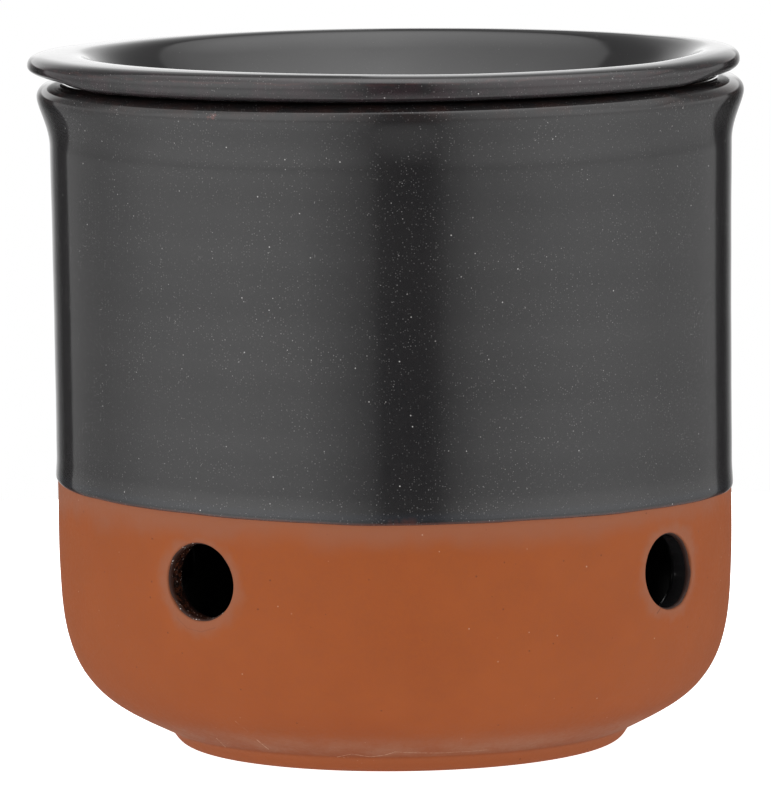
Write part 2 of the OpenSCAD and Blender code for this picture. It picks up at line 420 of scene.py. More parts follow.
# ---- jar: outer glaze ----
def glaze_line(a):
    """Height of the lower edge of the outer glaze at the angle a, in millimetres."""
    v = a - math.radians(-99.35)         # 0 where the jar faces the camera
    return (GLAZE_Z + 1.55 - 0.55 * np.exp((np.cos(v) - 1) / 0.045) - 1.15 * np.sin(v) + 0.10 * np.sin(2 * v + 0.6) + 0.12 * np.sin(3 * v + 0.4)
            + 0.07 * np.sin(7 * v + 1.0) + 0.035 * np.sin(17 * v) + 0.02 * np.sin(31 * v + 2))


def og_profile():
    edge = curve([[62.1 - SINK, GLAZE_Z + 0.02], [62.26, GLAZE_Z - 0.05], [62.44, GLAZE_Z + 0.25], [62.41, GLAZE_Z + 0.9]], 12)
    relax = curve([[62.41, GLAZE_Z + 0.9], [62.38, GLAZE_Z + 2.0], [62.24, GLAZE_Z + 3.0], [62.24, GLAZE_Z + 5]], 14)
    wall = spaced(curve([[62.24, GLAZE_Z + 5], [62.24, 75], [62.34, 92], [62.58, LIP_Z - 11.6]], 300), 1.1)
    flare = spaced(curve([[62.58, LIP_Z - 11.6], [62.63, LIP_Z - 7.8], [R_LIP + GLAZE_T, LIP_Z - 4.2], [R_LIP + GLAZE_T, LIP_Z - 2.4]], 100), 0.4)
    lip = spaced(curve([[R_LIP + GLAZE_T, LIP_Z - 2.4], [R_LIP + GLAZE_T, LIP_Z - 0.95], [R_LIP - 1.0, LIP_Z + 0.25], [60.7, LIP_Z + GLAZE_T]], 80), 0.28)
    seen = chain(edge, relax, wall, flare, lip, [[60.0, LIP_Z + GLAZE_T], [59.92, LIP_Z + GLAZE_T - 0.05]])
    hid = chain([[59.92, LIP_Z - SINK], [60.7, LIP_Z - SINK]], spaced(lip_out[::-1] - np.array([SINK, SINK]), 1.0),
                spaced(flare_out[::-1] - np.array([SINK, 0]), 1.4),
                spaced(np.array([[62.1 - SINK, LIP_Z - 11.8], [62.1 - SINK, GLAZE_Z + 1.5]]), 4.0))
    return np.vstack([seen, hid]), len(seen)


oprof, n_seen = og_profile()


def og_turn(a, r, z, k):
    fall = 1 - smooth(GLAZE_Z + 1, GLAZE_Z + 22, z)
    return r, z + (glaze_line(a) - GLAZE_Z) * fall


og = Shape()
og.ring_lathe(oprof, turn=og_turn)
above = np.repeat(np.where(np.arange(len(oprof)) < n_seen, oprof[:, 1] - GLAZE_Z, 60.0), SEG)
jar_glaze = og.build("jar_outer_coat", jar_warp, {"above_edge": above})

# ---- lid ----
ZS, ZC, RO = LIP_Z + GLAZE_T + 0.1, 127.34, 65.3
ZD, RW = ZC - 12.74, 57.15 - 1.2
rim_low = curve([[RO - 4.2, ZS + 0.08], [RO - 1.6, ZS + 0.12], [RO, ZS + 0.7], [RO, ZS + 2.6]], 60)
rim_top = curve([[RO, ZS + 2.6], [RO, ZC - 0.80], [RO - 1.2, ZC - 0.20], [RO - 3.0, ZC - 0.08]], 60)
crest = curve([[RO - 3.0, ZC - 0.08], [RO - 4.2, ZC], [RO - 4.8, ZC + 0.01], [RO - 5.6, ZC - 0.03]], 30)
dish_top = curve([[RO - 5.6, ZC - 0.03], [RO - 7.3, ZC - 0.12], [RO - 8.8, ZC - 1.0], [RO - 11.0, ZC - 3.7]], 80)
dish_wall = curve([[RO - 11.0, ZC - 3.7], [RO - 14.8, ZC - 8.2], [RO - 19, ZD], [RO - 26, ZD]], 100)
floor_top = curve([[RO - 26, ZD], [RO - 34, ZD], [20, ZD - 0.3], [0, ZD - 0.3]], 60)
lid_face = chain(rim_low, rim_top, crest, dish_top, dish_wall, floor_top)
ZU = ZD - 0.3 - 4.3
under = chain([[0, ZU]], spaced(np.array([[0, ZU], [RW - 18, ZU]]), 3.2)[1:],
              spaced(curve([[RW - 18, ZU], [RW - 8, ZU], [RW - 0.9, ZU + 4.4], [RW - 0.1, ZU + 8.6]], 80), 0.6),
              spaced(np.array([[RW - 0.1, ZU + 8.6], [RW, ZS - 1.1]]), 1.0),
              spaced(curve([[RW, ZS - 1.1], [RW, ZS - 0.3], [RW + 0.5, ZS], [RW + 1.2, ZS]], 30), 0.25),
              spaced(np.array([[RW + 1.2, ZS], [RO - 4.6, ZS]]), 0.8))

seen_lid = chain(spaced(chain(rim_low, rim_top), 0.22), spaced(crest, 0.35), spaced(dish_top, 0.3),
                 spaced(dish_wall, 0.45), spaced(floor_top, 2.2))
nrm = normals(seen_lid)
dist = np.r_[0, np.cumsum(np.linalg.norm(np.diff(seen_lid, axis=0), axis=1))]
sunk = seen_lid - nrm * (0.3 * smooth(-0.4, 1.6, dist))[:, None]
sunk[-1, 0] = 0
lid_clay_prof = chain(under, sunk[::1])
lc = Shape()
lc.lathe(np.vstack([lid_clay_prof[:-1], [[0, sunk[-1, 1]]]]))
lid_clay = lc.build("lid_clay_body", lid_warp)

deep = seen_lid - nrm * ((0.3 + SINK) * smooth(-0.6, 1.6, dist) + 0.02)[:, None]
pick = list(range(1, len(deep) - 1, 3))
lid_glaze_prof = np.vstack([[[0, deep[-1, 1]]], deep[pick][::-1], [[RO - 4.45, ZS + 0.2]], seen_lid[:-1],
                            [[0, seen_lid[-1, 1]]]])


def lid_turn(a, r, z, k):
    """The glaze's edge under the rim is a little uneven."""
    near = (1 - smooth(ZS + 0.1, ZS + 0.5, z)) * smooth(RO - 5.5, RO - 4.4, r)
    return r - near * (0.1 + 0.06 * np.sin(9 * a + 1) + 0.04 * np.sin(23 * a)), z


lg = Shape()
lg.lathe(lid_glaze_prof, turn=lid_turn)
lid_glaze = lg.build("lid_coat", lid_warp)


# ---------------------------------------------------------------- materials
class Tree:
    def __init__(self, tree):
        self.t = tree
        tree.nodes.clear()

    def node(self, kind, inputs=None, **props):
        n = self.t.nodes.new(kind)
        for k, v in props.items():
            setattr(n, k, v)
        for k, v in (inputs or {}).items():
            sock = n.inputs[k]
            if isinstance(v, bpy.types.NodeSocket):
                self.t.links.new(v, sock)
            else:
                sock.default_value = v
        return n

    def math(self, op, a, b=0.0, c=None, clamp=False):
        ins = {0: a, 1: b}
        if c is not None:
            ins[2] = c
        return self.node("ShaderNodeMath", ins, operation=op, use_clamp=clamp).outputs[0]

    def vec(self, op, a, b=None, scale=None):
        ins = {0: a}
        if b is not None:
            ins[1] = b
        if scale is not None:
            ins["Scale"] = scale
        n = self.node("ShaderNodeVectorMath", ins, operation=op)
        return n.outputs["Value"] if op in ("LENGTH", "DOT_PRODUCT", "DISTANCE") else n.outputs["Vector"]

    def ramp(self, x, lo, hi, out_lo=0.0, out_hi=1.0, kind="SMOOTHSTEP"):
        n = self.node("ShaderNodeMapRange", {"Value": x, "From Min": lo, "From Max": hi, "To Min": out_lo, "To Max": out_hi},
                      interpolation_type=kind)
        return n.outputs["Result"]

    def noise(self, vec, scale, detail=3.0, rough=0.55, dist=0.0):
        n = self.node("ShaderNodeTexNoise", {"Vector": vec, "Scale": scale, "Detail": detail, "Roughness": rough, "Distortion": dist})
        return n.outputs["Fac"]

    def cells(self, vec, scale):
        n = self.node("ShaderNodeTexVoronoi", {"Vector": vec, "Scale": scale, "Randomness": 1.0}, feature="F1")
        rgb = self.node("ShaderNodeSeparateColor", {0: n.outputs["Color"]})
        return n.outputs["Distance"], rgb.outputs[0], rgb.outputs[1]

    def mix(self, fac, a, b, kind="MIX"):
        n = self.node("ShaderNodeMix", data_type="RGBA", blend_type=kind)
        for sock, v in ((n.inputs[0], fac), (n.inputs[6], a), (n.inputs[7], b)):
            if isinstance(v, bpy.types.NodeSocket):
                self.t.links.new(v, sock)
            elif isinstance(v, (int, float)):
                sock.default_value = v
            else:
                sock.default_value = (*v, 1.0) if len(v) == 3 else v
        return n.outputs[2]

    def bump(self, height, strength, distance, normal=None):
        ins = {"Height": height, "Strength": strength, "Distance": distance}
        if normal is not None:
            ins["Normal"] = normal
        return self.node("ShaderNodeBump", ins).outputs["Normal"]

    def segment(self, p, a, b, width):
        """1 on the line from a to b, falling to 0 at width from it."""
        a, b = Vector(a), Vector(b)
        d = b - a
        ap = self.vec("SUBTRACT", p, tuple(a))
        t = self.math("DIVIDE", self.vec("DOT_PRODUCT", ap, tuple(d)), d.length_squared, clamp=True)
        n = self.node("ShaderNodeVectorMath", {0: tuple(d), "Scale": t}, operation="SCALE")
        off = self.vec("LENGTH", self.vec("SUBTRACT", ap, n.outputs["Vector"]))
        return self.ramp(off, width * 0.4, width, 1.0, 0.0)


def new_material(name):
    m = bpy.data.materials.new(name)
    m.use_nodes = True
    t = Tree(m.node_tree)
    out = t.node("ShaderNodeOutputMaterial")
    p = t.node("ShaderNodeBsdfPrincipled")
    t.t.links.new(p.outputs[0], out.inputs[0])
    return m, t, p


def place(t):
    """Object position in millimetres, and its parts."""
    tc = t.node("ShaderNodeTexCoord")
    mm = t.vec("MULTIPLY", tc.outputs["Object"], (1000.0, 1000.0, 1000.0))
    xyz = t.node("ShaderNodeSeparateXYZ", {0: mm})
    return mm, xyz.outputs[0], xyz.outputs[1], xyz.outputs[2]


def speckles(t, mm):
    """Pale specks of three sizes in the glaze, crowded in places."""
    crowd = t.ramp(t.noise(t.vec("ADD", mm, (21.0, 5.0, 9.0)), 0.11, 3.0, 0.65), 0.40, 0.64)
    warped = t.vec("ADD", mm, (13.7, -4.1, 7.9))
    d1, c1, b1 = t.cells(warped, 0.42)
    big = t.math("MULTIPLY", t.ramp(d1, 0.030, 0.066, 1, 0), t.ramp(c1, 0.30, 0.90, 0.0, 0.95))
    d2, c2, b2 = t.cells(t.vec("ADD", mm, (3.1, 9.2, -5.3)), 1.0)
    mid = t.math("MULTIPLY", t.ramp(d2, 0.05, 0.115, 1, 0), t.ramp(c2, 0.42, 1.0, 0.0, 0.78))
    mid = t.math("MULTIPLY", mid, t.ramp(crowd, 0, 1, 0.3, 1.0, "LINEAR"))
    d3, c3, b3 = t.cells(t.vec("ADD", mm, (-8.0, 2.2, 1.3)), 2.4)
    fine = t.math("MULTIPLY", t.ramp(d3, 0.12, 0.30, 1, 0), t.ramp(c3, 0.3, 1.0, 0.0, 0.27))
    fine = t.math("MULTIPLY", fine, t.ramp(crowd, 0, 1, 0.4, 1.0, "LINEAR"))
    return big, mid, fine


def glaze_material(name, lid):
    m, t, p = new_material(name)
    mm, x, y, z = place(t)
    cloud = t.noise(mm, 0.035, 4.0, 0.6)
    grain = t.noise(mm, 2.2, 2.0, 0.6)
    base = t.mix(t.ramp(cloud, 0.3, 0.7), (0.0112, 0.0110, 0.0118), (0.0150, 0.0144, 0.0150))
    base = t.mix(t.ramp(grain, 0.35, 0.75, 0.0, 0.5), base, (0.021, 0.0195, 0.0200))
    big, mid, fine = speckles(t, mm)
    dots = t.math("MAXIMUM", t.math("MAXIMUM", big, mid), fine)
    brk = t.noise(mm, 0.22, 4.0, 0.65)
    if lid:
        rad = t.math("SQRT", t.math("ADD", t.math("MULTIPLY", x, x), t.math("MULTIPLY", y, y)))
        dots = t.math("MULTIPLY", dots, t.ramp(rad, 58.5, 62.0, 0.12, 1.0))
        thin = t.math("MULTIPLY", t.ramp(rad, 62.8, 64.9), t.ramp(brk, 0.42, 0.62, 0.1, 1.0))
        base = t.mix(t.math("MULTIPLY", thin, 0.6), base, (0.030, 0.017, 0.021))
        # a thin broken reddish line where the glaze is thinnest, under the crest
        wob = t.ramp(t.noise(mm, 0.15, 3.0, 0.6), 0.2, 0.8, -0.5, 0.5, "LINEAR")
        off = t.math("ABSOLUTE", t.math("SUBTRACT", t.math("ADD", z, wob), 126.35))
        line = t.math("MULTIPLY", t.ramp(off, 0.05, 0.32, 1, 0), t.ramp(rad, 63.5, 64.3))
        line = t.math("MULTIPLY", line, t.ramp(t.noise(t.vec("ADD", mm, (7.0, 7.0, 7.0)), 0.3, 3.0, 0.6), 0.38, 0.62))
        base = t.mix(t.math("MULTIPLY", line, 0.35), base, (0.075, 0.028, 0.026))
    else:
        thin = t.math("MULTIPLY", t.ramp(z, 118.8, 121.6), t.ramp(brk, 0.42, 0.62, 0.1, 1.0))
        edge = t.node("ShaderNodeAttribute", attribute_name="above_edge", attribute_type="GEOMETRY").outputs["Fac"]
        base = t.mix(t.math("MULTIPLY", thin, 0.5), base, (0.040, 0.018, 0.015))
        # the thick roll of glaze along its lower edge is painted lighter and bluer, a painted reflection of the pale
        # floor below it, and its very edge breaks to red brown
        roll = t.math("MULTIPLY", t.ramp(edge, 0.5, 0.9), t.ramp(edge, 1.4, 2.6, 1.0, 0.0))
        base = t.mix(t.math("MULTIPLY", roll, 0.6), base, (0.020, 0.022, 0.027))
        rim = t.math("MULTIPLY", t.ramp(edge, 0.22, 0.60, 1.0, 0.0), t.ramp(t.noise(mm, 0.35, 3.0, 0.6), 0.3, 0.6, 0.55, 1.0))
        base = t.mix(rim, base, (0.060, 0.016, 0.010))
    base = t.mix(dots, base, (0.50, 0.49, 0.48))
    if not lid:
        # a small chip of bare clay with pale crystals on the lip
        chip = t.vec("LENGTH", t.vec("MULTIPLY", t.vec("SUBTRACT", mm, CHIP), (1.0, 1.0, 1.5)))
        chip = t.math("ADD", chip, t.ramp(t.noise(mm, 1.3, 3.0, 0.6), 0.3, 0.7, -0.5, 0.5))
        base = t.mix(t.ramp(chip, 0.35, 1.05, 0.6, 0.0), base, (0.16, 0.062, 0.055))
        d4, c4, b4 = t.cells(mm, 2.6)
        shard = t.math("MULTIPLY", t.ramp(d4, 0.15, 0.32, 1, 0), t.ramp(chip, 1.0, 1.8, 1.0, 0.0))
        shard = t.math("MULTIPLY", shard, t.ramp(c4, 0.5, 0.7, 0.0, 0.55))
        base = t.mix(shard, base, (0.42, 0.40, 0.39))
        # a faint reddish smudge low on the front
        smudge = t.vec("LENGTH", t.vec("MULTIPLY", t.vec("SUBTRACT", mm, (-8.5, -61.5, 48.3)), (0.30, 0.30, 1.0)))
        smudge = t.math("MULTIPLY", t.ramp(smudge, 0.2, 1.3, 0.5, 0.0), t.ramp(t.noise(mm, 0.7, 3.0, 0.6), 0.35, 0.65))
        base = t.mix(smudge, base, (0.085, 0.030, 0.024))
    t.t.links.new(base, p.inputs["Base Color"])
    # fine orange peel and slow waves in the gloss
    peel = t.noise(mm, 0.55, 2.0, 0.5)
    wave = t.noise(mm, 0.06, 2.0, 0.5)
    h = t.math("ADD", t.math("MULTIPLY", peel, 0.0024), t.math("MULTIPLY", wave, 0.02))
    h = t.math("ADD", h, t.math("MULTIPLY", dots, 0.004))
    t.t.links.new(t.bump(h, 1.0, 0.001), p.inputs["Normal"])
    rough = t.ramp(t.noise(mm, 0.3, 3.0, 0.6), 0.3, 0.7, 0.060, 0.095)
    t.t.links.new(rough, p.inputs["Roughness"])
    p.inputs["IOR"].default_value = 1.62
    p.inputs["Specular IOR Level"].default_value = 0.5
    return m


def clay_material(name, jar):
    m, t, p = new_material(name)
    mm, x, y, z = place(t)
    cloud = t.noise(mm, 0.045, 4.0, 0.62)
    patch = t.noise(t.vec("ADD", mm, (40, 11, 5)), 0.16, 3.0, 0.6)
    grain = t.noise(mm, 1.1, 4.0, 0.7)
    base = t.mix(t.ramp(cloud, 0.3, 0.7), (0.2684, 0.0582, 0.0095), (0.2923, 0.0673, 0.0119))
    base = t.mix(t.ramp(patch, 0.35, 0.7, 0.0, 0.45), base, (0.2561, 0.0602, 0.0115))
    base = t.mix(t.ramp(grain, 0.30, 0.75, 0.0, 0.35), base, (0.3248, 0.0841, 0.0163))
    # dark pits and a few pale grits
    d1, c1, b1 = t.cells(mm, 0.42)
    pits = t.math("MULTIPLY", t.ramp(d1, 0.045, 0.10, 1, 0), t.ramp(c1, 0.55, 0.75))
    d2, c2, b2 = t.cells(t.vec("ADD", mm, (5, 5, 5)), 0.36)
    grits = t.math("MULTIPLY", t.ramp(d2, 0.035, 0.07, 1, 0), t.ramp(c2, 0.7, 0.85))
    marks = None
    if jar:
        # greyer just under the glaze
        near = t.math("SUBTRACT", t.math("ADD", GLAZE_Z + 1.2, t.ramp(t.noise(mm, 0.09, 2.0), 0.3, 0.7, -1.2, 1.2)), z)
        halo = t.ramp(near, 0.0, 5.5, 0.62, 0.0)
        # distance from the axis of the nearest vent hole
        ca, sa = math.cos(math.radians(46.15)), math.sin(math.radians(46.15))
        side = t.math("SUBTRACT", t.math("MULTIPLY", t.math("ABSOLUTE", x), sa), t.math("MULTIPLY", t.math("ABSOLUTE", y), ca))
        dz = t.math("SUBTRACT", z, VENT_Z)
        far = t.math("SQRT", t.math("ADD", t.math("MULTIPLY", side, side), t.math("MULTIPLY", dz, dz)))
        far = t.math("ADD", far, t.ramp(t.noise(mm, 0.3, 2.0), 0.3, 0.7, -0.6, 0.6))
        ring = t.ramp(far, 7.4, 10.2, 0.60, 0.0)
        base = t.mix(t.math("MAXIMUM", halo, ring), base, (0.262, 0.100, 0.055))
        # hazy, rubbed, paler clay where the base turns into the foot
        scuff = t.math("MULTIPLY", t.ramp(z, 3.0, 3.6), t.ramp(z, 4.5, 9.5, 1.0, 0.0))
        scuff = t.math("MULTIPLY", scuff, t.ramp(t.noise(mm, 0.12, 4.0, 0.65), 0.35, 0.65, 0.25, 0.8))
        base = t.mix(scuff, base, (0.330, 0.135, 0.070))
        # the foot is painted a brighter orange, painted light standing in for light thrown up from the floor
        foot = t.ramp(z, 3.4, 2.6)
        base = t.mix(t.math("MULTIPLY", foot, 0.8), base, (0.385, 0.112, 0.036))
        # fine pale scratches, a broken pale line along that turn, and rubbed spots on the foot
        fray = t.ramp(t.noise(mm, 1.4, 3.0, 0.65), 0.36, 0.56, 0.15, 1.0)
        marks = None
        for a, b, width, force in PALE_MARKS:
            m1 = t.math("MULTIPLY", t.segment(mm, a, b, width), force)
            marks = m1 if marks is None else t.math("MAXIMUM", marks, m1)
        d5, c5, b5 = t.cells(mm, 1.3)
        rub = t.vec("LENGTH", t.vec("MULTIPLY", t.vec("SUBTRACT", mm, (-14.5, -40.5, 2.6)), (0.26, 0.5, 0.9)))
        rub = t.math("MULTIPLY", t.ramp(rub, 0.4, 1.3, 0.6, 0.0), t.math("MULTIPLY", t.ramp(d5, 0.10, 0.24, 1, 0), t.ramp(c5, 0.35, 0.6)))
        marks = t.math("MAXIMUM", t.math("MULTIPLY", marks, fray), rub)
        base = t.mix(marks, base, (0.62, 0.40, 0.28))
        cracks = None
        for a, b, width, force in DARK_MARKS:
            m1 = t.math("MULTIPLY", t.segment(mm, a, b, width), force)
            cracks = m1 if cracks is None else t.math("MAXIMUM", cracks, m1)
        base = t.mix(cracks, base, (0.10, 0.028, 0.012))
    else:
        # under the rim the clay is darkened to near black, as dark as the glaze beside it
        rad = t.math("SQRT", t.math("ADD", t.math("MULTIPLY", x, x), t.math("MULTIPLY", y, y)))
        dark_under_rim = t.math("MULTIPLY", t.ramp(rad, 57.2, 58.4), t.ramp(t.noise(mm, 0.5, 2.0), 0.2, 0.5, 0.85, 1.0))
        base = t.mix(dark_under_rim, base, (0.018, 0.011, 0.009))
    base = t.mix(t.math("MULTIPLY", pits, 0.6), base, (0.130, 0.032, 0.012))
    base = t.mix(t.math("MULTIPLY", grits, 0.6), base, (0.52, 0.34, 0.25))
    t.t.links.new(base, p.inputs["Base Color"])
    tooth = t.noise(mm, 3.2, 3.0, 0.65)
    h = t.math("ADD", t.math("MULTIPLY", grain, 0.022), t.math("MULTIPLY", tooth, 0.016))
    h = t.math("SUBTRACT", h, t.math("MULTIPLY", pits, 0.06))
    h = t.math("ADD", h, t.math("MULTIPLY", grits, 0.02))
    t.t.links.new(t.bump(h, 0.8, 0.001), p.inputs["Normal"])
    t.t.links.new(t.ramp(grain, 0.3, 0.7, 0.58, 0.74), p.inputs["Roughness"])
    p.inputs["IOR"].default_value = 1.45
    p.inputs["Specular IOR Level"].default_value = 0.32
    return m


def liner_material(name):
    m, t, p = new_material(name)
    mm, x, y, z = place(t)
    rad = t.math("SQRT", t.math("ADD", t.math("MULTIPLY", x, x), t.math("MULTIPLY", y, y)))
    low = t.ramp(z, 60.0, 50.0)
    bore = t.math("MULTIPLY", t.ramp(rad, 57.6, 58.6), low)
    left = t.math("MULTIPLY", bore, t.ramp(x, 5.0, -5.0))
    mott = t.noise(mm, 1.1, 4.0, 0.7)
    base = t.mix(t.ramp(t.noise(mm, 0.05, 3.0), 0.3, 0.7), (0.010, 0.0098, 0.0105), (0.015, 0.0142, 0.0150))
    # in the vent holes the coat is thin and breaks to brown, more so in the left ones
    brown = t.mix(t.ramp(mott, 0.42, 0.66), (0.012, 0.006, 0.005), (0.085, 0.026, 0.012))
    base = t.mix(t.ramp(left, 0.0, 1.0, 0.0, 0.9), base, brown)
    mouth = t.math("MULTIPLY", t.ramp(rad, 60.5, 61.1), low)
    base = t.mix(t.math("MULTIPLY", mouth, 0.8), base, (0.045, 0.016, 0.010))
    # pale flecks on the left holes' walls: their whiteness is partly the flecks' own colour and partly painted glints
    # of light
    d1, c1, b1 = t.cells(mm, 1.9)
    fleck_and_glint = t.math("MULTIPLY", t.ramp(d1, 0.16, 0.30, 1, 0), t.ramp(c1, 0.45, 0.7))
    fleck_and_glint = t.math("MULTIPLY", fleck_and_glint, t.ramp(t.noise(t.vec("ADD", mm, (9.0, 3.0, 1.0)), 0.22, 3.0, 0.6), 0.44, 0.58))
    fleck_and_glint = t.math("MULTIPLY", fleck_and_glint, left)
    base = t.mix(fleck_and_glint, base, (0.85, 0.78, 0.74))
    t.t.links.new(base, p.inputs["Base Color"])
    h = t.math("ADD", t.math("MULTIPLY", t.noise(mm, 0.8, 3.0, 0.6), t.ramp(left, 0, 1, 0.01, 0.16)),
               t.math("MULTIPLY", fleck_and_glint, 0.03))
    t.t.links.new(t.bump(h, 1.0, 0.001), p.inputs["Normal"])
    # the thin rough end of the coat in a vent hole is nearly matt
    rough = t.math("ADD", t.ramp(mott, 0.3, 0.7, 0.10, 0.19), t.math("MULTIPLY", mouth, 0.42))
    t.t.links.new(rough, p.inputs["Roughness"])
    p.inputs["Specular IOR Level"].default_value = 0.35
    p.inputs["IOR"].default_value = 1.5
    return m


def floor_material(name):
    """A white sweep that glows, as white as the backdrop where the camera sees it; its weaker glow elsewhere is painted
    light thrown up on to the jar's underside.
    """
    m, t, p = new_material(name)
    mm, x, y, z = place(t)
    n = t.noise(mm, 0.02, 3.0)
    t.t.links.new(t.mix(t.ramp(n, 0.3, 0.7), (0.88, 0.88, 0.88), (0.90, 0.90, 0.90)), p.inputs["Base Color"])
    p.inputs["Roughness"].default_value = 0.9
    p.inputs["Specular IOR Level"].default_value = 0.1
    t.t.links.new(t.mix(t.ramp(n, 0.3, 0.7), (0.99, 0.99, 0.99), (1.0, 1.0, 1.0)), p.inputs["Emission Color"])
    seen = t.node("ShaderNodeLightPath").outputs["Is Camera Ray"]
    t.t.links.new(t.ramp(seen, 0.0, 1.0, 0.45, 1.1, "LINEAR"), p.inputs["Emission Strength"])
    return m


# the chip on the lip, in millimetres: where it lies as the camera sees it
CHIP_A = -math.pi / 2 - AZ - math.radians(29.1)
CHIP = (64.75 * math.cos(CHIP_A), 64.75 * math.sin(CHIP_A), 120.3)

# marks on the bare clay, in millimetres: ends, width and strength
def run(points, width, force):
    return [(a, b, width, force) for a, b in zip(points[:-1], points[1:])]


PALE_MARKS = (
    run([(-36.34, -42.13, 10.80), (-34.23, -41.21, 8.95), (-31.83, -38.34, 6.57)], 0.11, 0.45)
    + run([(-31.83, -38.34, 6.57), (-29.28, -34.52, 4.23)], 0.17, 0.75)
    + run([(-38.05, -29.81, 5.81), (-36.71, -26.76, 4.36), (-35.59, -24.00, 3.14)], 0.16, 0.6)
    + run([(-17.48, -39.48, 3.12), (-15.38, -42.36, 4.04)], 0.15, 0.6)
    + run([(-15.38, -42.36, 4.04), (-11.69, -42.06, 3.32), (-9.41, -43.80, 3.87), (-7.93, -45.74, 4.67),
           (-3.52, -45.61, 4.30), (0.15, -45.45, 4.14)], 0.15, 0.8)
    + run([(0.15, -45.45, 4.14), (4.19, -45.34, 4.15), (8.83, -44.99, 4.29)], 0.14, 0.6))
DARK_MARKS = (
    run([(-46.39, -40.90, 29.67), (-44.83, -42.47, 27.97), (-42.64, -44.63, 27.54), (-40.41, -46.74, 28.48)], 0.16, 0.2)
    + run([(40.81, -46.45, 29.37), (39.92, -47.15, 28.40)], 0.16, 0.6))

JAR_GLAZE = glaze_material("jar_glaze_charcoal", False)
LID_GLAZE = glaze_material("lid_glaze_charcoal", True)
JAR_CLAY = clay_material("jar_terracotta", True)
LID_CLAY = clay_material("lid_terracotta", False)
LINER = liner_material("liner_gloss")

for obj, mat, slot, node, body in (
    (jar_clay, JAR_CLAY, "jar_clay", "jar_body", "jar"),
    (jar_glaze, JAR_GLAZE, "jar_glaze", "jar_outer_glaze", "jar"),
    (jar_liner, LINER, "liner_glaze", "jar_liner_glaze", "jar"),
    (lid_clay, LID_CLAY, "lid_clay", "lid_body", "lid"),
    (lid_glaze, LID_GLAZE, "lid_glaze", "lid_glaze", "lid"),
):
    obj.data.materials.append(mat)
    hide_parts(node)
    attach(obj, body)


# ---------------------------------------------------------------- floor
def disc(name, radius, z):
    n = 192
    v, f = [(0.0, 0.0, z)], []
    radii = [0.1, 0.2, radius * 0.9, radius]
    for r in radii:
        v += [(r * math.cos(2 * math.pi * i / n), r * math.sin(2 * math.pi * i / n), z) for i in range(n)]
    for i in range(n):
        j = (i + 1) % n
        f.append((0, 1 + i, 1 + j))
        for k in range(len(radii) - 1):
            a, b = 1 + k * n, 1 + (k + 1) * n
            f.append((a + i, b + i, b + j, a + j))
    mesh = bpy.data.meshes.new(name)
    mesh.from_pydata(v, [], f)
    obj = bpy.data.objects.new(name, mesh)
    bpy.context.scene.collection.objects.link(obj)
    return obj


floor = disc("floor", 0.35, 0.0)
floor.data.materials.append(floor_material("floor_white"))
floor.visible_glossy = False

# ---------------------------------------------------------------- light
BACK = (-math.sin(AZ), -math.cos(AZ), 0.0)
RIGHT = (math.cos(AZ), -math.sin(AZ), 0.0)

world = bpy.data.worlds.new("studio")
bpy.context.scene.world = world
world.use_nodes = True
w = Tree(world.node_tree)
w_out = w.node("ShaderNodeOutputWorld")
bg = w.node("ShaderNodeBackground")
w.t.links.new(bg.outputs[0], w_out.inputs[0])
direction = w.node("ShaderNodeTexCoord").outputs["Generated"]
along = w.vec("DOT_PRODUCT", direction, BACK)
across = w.vec("DOT_PRODUCT", direction, RIGHT)
up = w.node("ShaderNodeSeparateXYZ", {0: direction}).outputs[2]
turn = w.math("MULTIPLY", w.math("ARCTAN2", across, along), 180 / math.pi)
lift = w.math("MULTIPLY", w.math("ARCSINE", w.math("MAXIMUM", w.math("MINIMUM", up, 1.0), -1.0)), 180 / math.pi)


def steps(x, table, lo, hi):
    """Piecewise linear value of x through (x, value) pairs, values up to 4."""
    n = w.node("ShaderNodeValToRGB", {0: w.ramp(x, lo, hi, kind="LINEAR")})
    r = n.color_ramp
    r.interpolation = "LINEAR"
    table = sorted(table)
    while len(r.elements) < len(table):
        r.elements.new(1.0)
    for e, (a, v) in zip(r.elements, table):
        e.position = (a - lo) / (hi - lo)
    for e, (a, v) in zip(r.elements, table):
        e.color = (v / 4, v / 4, v / 4, 1)
    return w.math("MULTIPLY", n.outputs[0], 4.0)


def blend(fac, a, b):
    return w.node("ShaderNodeMix", {0: fac, 2: a, 3: b}, data_type="FLOAT").outputs[0]


# round the horizon: two broad soft panels at the sides with a dark gap between them in front,
# narrow dark flags beside the backdrop, and the white backdrop behind
left = steps(turn, [(-180, .80), (-172, .78), (-166, .55), (-160, .22), (-152, .05), (-147, .05), (-142.2, .08),
                    (-140.8, .40), (-126, .44), (-114, .54), (-102, .76), (-90, 1.04), (-78, 1.22), (-66, 1.3),
                    (-54, 1.35), (-42, 1.3), (-30, 1.2), (-18, .86), (-8, .5), (-3, .16), (0, .13)], -180, 0)
right = steps(turn, [(0, .13), (3, .1), (11, .1), (15, .22), (20, .5), (30, .86), (42, 1.04), (54, 1.2), (66, 1.24),
                     (78, 1.18), (90, 1.04), (102, .84), (114, .7), (126, .55), (136, .46), (141.6, .36), (143.2, .08),
                     (150, .03), (156, .06), (163, .25), (170, .55), (176, .78), (180, .80)], 0, 180)
sky = blend(w.math("GREATER_THAN", turn, 0.0), left, right)
sky = w.math("MULTIPLY", sky, steps(lift, [(-90, .55), (-45, .80), (-35, .95), (-22, 1.0), (-12, .86),
                                           (-8.5, .80), (-5.2, 1.0), (0, 1.12), (10, 1.18), (90, 1.18)], -90, 90))
# the table fills the gap from below
sky = w.math("MAXIMUM", sky, steps(lift, [(-90, .62), (-45, .42), (-20, .12), (-8, 0), (90, 0)], -90, 90))
